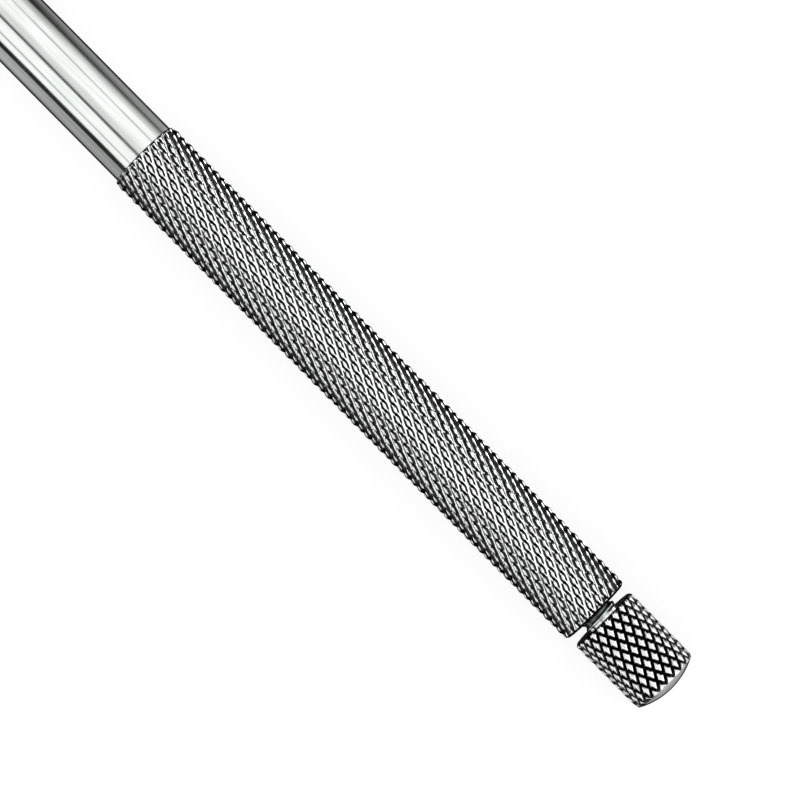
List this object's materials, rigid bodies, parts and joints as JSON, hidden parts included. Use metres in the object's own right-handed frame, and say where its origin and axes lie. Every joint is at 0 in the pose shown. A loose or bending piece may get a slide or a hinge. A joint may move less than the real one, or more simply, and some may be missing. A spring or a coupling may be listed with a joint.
{
  "type": "scriber",
  "caption": "Slim straight metalworking scriber: knurled steel handle with a smooth forward shaft, collet chuck, carbide-tipped needle and screwed butt cap that holds a spare needle.",
  "frame": {"origin": "on the tool's axis, at the middle of the smooth shaft in front of the knurled grip", "axes": "+X along the tool towards the point, -X towards the butt cap; the tool is round about X, and the collar's spanner flats face +Y and -Y"},
  "size_m": [0.1537, 0.0088, 0.0088],
  "materials": {
    "nickel_steel": "bright nickel plate over turned and knurled steel",
    "tool_steel": "hardened and tempered, fine ground",
    "needle_steel": "ground and polished",
    "spring_steel": "drawn music wire",
    "carbide": "diamond-ground tungsten carbide"
  },
  "bodies": {
    "barrel": {"handle_barrel": "nickel_steel", "chuck_body": "nickel_steel", "collet_spring": "spring_steel"},
    "collet": {"collet": "tool_steel"},
    "nut": {"chuck_nut": "nickel_steel"},
    "needle": {"needle_shank": "needle_steel", "needle_tip": "carbide"},
    "spare_needle": {"spare_needle_shank": "needle_steel", "spare_needle_tip": "carbide"},
    "cap": {"end_cap": "nickel_steel"}
  },
  "joints": [
    {"name": "needle_slide", "type": "slide", "parent": "barrel", "child": "needle", "axis": [1, 0, 0], "range_m": [-0.031, 0.003]},
    {"name": "collet_travel", "type": "slide", "parent": "barrel", "child": "collet", "axis": [1, 0, 0], "range_m": [0, 0.00225], "deforming": ["collet_spring"]},
    {"name": "nut_turn", "type": "hinge", "parent": "collet", "child": "nut", "pos_m": [0.014, 0, 0], "axis": [1, 0, 0], "range_deg": [0, 1082]},
    {"name": "cap_travel", "type": "slide", "parent": "barrel", "child": "spare_needle", "axis": [-1, 0, 0], "range_m": [-0.00112, 0.00675]},
    {"name": "cap_turn", "type": "hinge", "parent": "spare_needle", "child": "cap", "pos_m": [-0.08463, 0, 0], "axis": [-1, 0, 0], "range_deg": [-540, 3242]}
  ],
  "couplings": [
    {"joint": "nut_turn", "follows": "collet_travel", "rad_per_m": 8377.6},
    {"joint": "cap_turn", "follows": "cap_travel", "rad_per_m": 8377.6}
  ]
}
